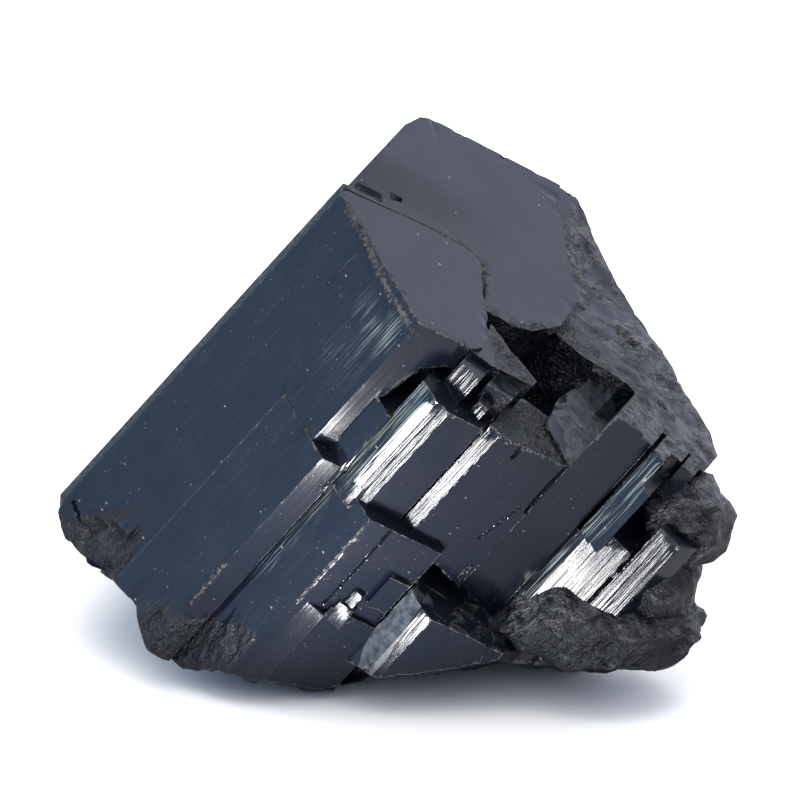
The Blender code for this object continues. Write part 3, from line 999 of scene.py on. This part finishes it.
def white_ground():
    """The plain white surface that the stone lies on."""
    paint = Paint("white_ground")
    camera_ray = paint.node("ShaderNodeLightPath", output="Is Camera Ray")
    white = paint.blend(camera_ray, FLOOR_MIRRORED, FLOOR_SEEN)
    paint.set(Base_Color=white, Roughness=FLOOR_ROUGHNESS, Specular_IOR_Level=0.0)
    return paint.material


# The studio. Its lengths are in metres.

CAMERA_RISE = radians(25.0)
CAMERA_DISTANCE = 3.0
CAMERA_REACH = 20.0
SENSOR = 36.0
# The photograph's size and scale, and how far below its centre the cluster's own middle shows.
PICTURE_PIXELS = 800
PIXELS_PER_METRE = 8500.0
MIDDLE_BELOW = 20

FLOOR_HALF = 6.0

# The room's light by direction, and how much of the sides' light the low light in front replaces.
LEFT_LIGHT = (0.72, 1.1, 1.6, 1.0)
RIGHT_LIGHT = (1.32, 1.42, 1.75, 1.0)
TOP_LIGHT = (1.6, 1.55, 1.5, 1.0)
FRONT_LIGHT = (0.1, 0.11, 0.15, 1.0)
FRONT_SHARE = 0.8
ROOM_SEEN = (1.0, 1.0, 1.0, 1.0)
# Where one light goes over into the next, by how far right, back or up a direction points.
LEFT_TO_RIGHT = (-0.85, 0.35)
FRONT_TO_BACK = (-0.7, 0.0)
LOW_TO_HIGH = (0.3, 0.7)
SIDES_TO_TOP = (0.35, 0.9)

# The small panels that the outward faces mirror lie just over the floor and shine straight up.
# Each has its name, its middle, its size and its power.
GLINTS = (
    ("far_glint", (-0.0465, -0.0915, 0.001), (0.025, 0.031), 0.21),
    ("near_glint", (-0.0135, -0.054, 0.001), (0.021, 0.016), 0.09),
)
GLINT_COLOUR = (1, 1, 1)
# The large soft light above: its place, size, power and colour.
SOFT_TOP = ((0.05, 0.15, 1.2), (1.2, 1.2), 11.0, (1.0, 0.97, 0.94))


def make_camera():
    """A long lens from the photograph's height."""
    data = bpy.data.cameras.new("camera")
    data.sensor_width = SENSOR
    data.lens = SENSOR * CAMERA_DISTANCE / (PICTURE_PIXELS / PIXELS_PER_METRE)
    data.clip_end = CAMERA_REACH
    camera = bpy.data.objects.new("camera", data)
    bpy.context.scene.collection.objects.link(camera)
    toward = Vector((0.0, -cos(CAMERA_RISE), sin(CAMERA_RISE)))
    up = Vector((0.0, sin(CAMERA_RISE), cos(CAMERA_RISE)))
    aim = LAY @ Vector((0, 0, 0)) + up * (MIDDLE_BELOW / PIXELS_PER_METRE)
    camera.location = aim + toward * CAMERA_DISTANCE
    camera.rotation_euler = (pi / 2 - CAMERA_RISE, 0.0, 0.0)
    bpy.context.scene.camera = camera


def area_light(name, place, target, size, power, colour):
    """A soft panel that shines towards a point and isn't seen itself."""
    data = bpy.data.lights.new(name, "AREA")
    data.shape = "RECTANGLE"
    data.size, data.size_y = size
    data.energy = power
    data.color = colour
    light = bpy.data.objects.new(name, data)
    bpy.context.scene.collection.objects.link(light)
    light.location = place
    light.rotation_euler = (Vector(target) - Vector(place)).to_track_quat("-Z", "Y").to_euler()
    light.visible_camera = False


def make_lights():
    """The small panels at the front and the soft light above."""
    for name, place, size, power in GLINTS:
        straight_up = Vector(place) + Vector((0, 0, 1))
        area_light(name, place, straight_up, size, power, GLINT_COLOUR)
    place, size, power, colour = SOFT_TOP
    area_light("soft_top", place, (0, 0, 0), size, power, colour)


def make_world():
    """A white room, dimmer and bluer low at the left, that the camera sees as plain white."""
    world = bpy.data.worlds.new("studio")
    world.use_nodes = True
    room = Paint.of_tree(world.node_tree)
    way = room.node("ShaderNodeTexCoord", output="Generated")
    x, y, z = (room.node("ShaderNodeSeparateXYZ", inputs={0: way}, output=axis) for axis in "XYZ")
    sides = room.blend(x.between(*LEFT_TO_RIGHT), LEFT_LIGHT, RIGHT_LIGHT)
    low_front = (1.0 - y.between(*FRONT_TO_BACK)) * (1.0 - z.between(*LOW_TO_HIGH))
    sides = room.blend(low_front * FRONT_SHARE, sides, FRONT_LIGHT)
    whole = room.blend(z.between(*SIDES_TO_TOP), sides, TOP_LIGHT)
    camera_ray = room.node("ShaderNodeLightPath", output="Is Camera Ray")
    background = world.node_tree.nodes["Background"]
    room.feed(background.inputs["Color"], room.blend(camera_ray, whole, ROOM_SEEN))
    room.feed(background.inputs["Strength"], 1.0)
    bpy.context.scene.world = world


def make_floor():
    """A large white floor under the stone."""
    shape = bmesh.new()
    bmesh.ops.create_grid(shape, x_segments=1, y_segments=1, size=FLOOR_HALF)
    mesh = bpy.data.meshes.new("floor")
    shape.to_mesh(mesh)
    shape.free()
    mesh.materials.append(white_ground())
    floor = bpy.data.objects.new("floor", mesh)
    bpy.context.scene.collection.objects.link(floor)


def make_studio():
    """The camera, the room, the floor and the lights."""
    make_camera()
    make_world()
    make_floor()
    make_lights()
    bpy.context.scene.view_settings.view_transform = "Standard"


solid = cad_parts["tourmaline_crystal"]
cluster = make_cluster(solid)
cluster.data.materials.append(black_tourmaline())
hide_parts("tourmaline_crystal")
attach(cluster, "root")
make_studio()
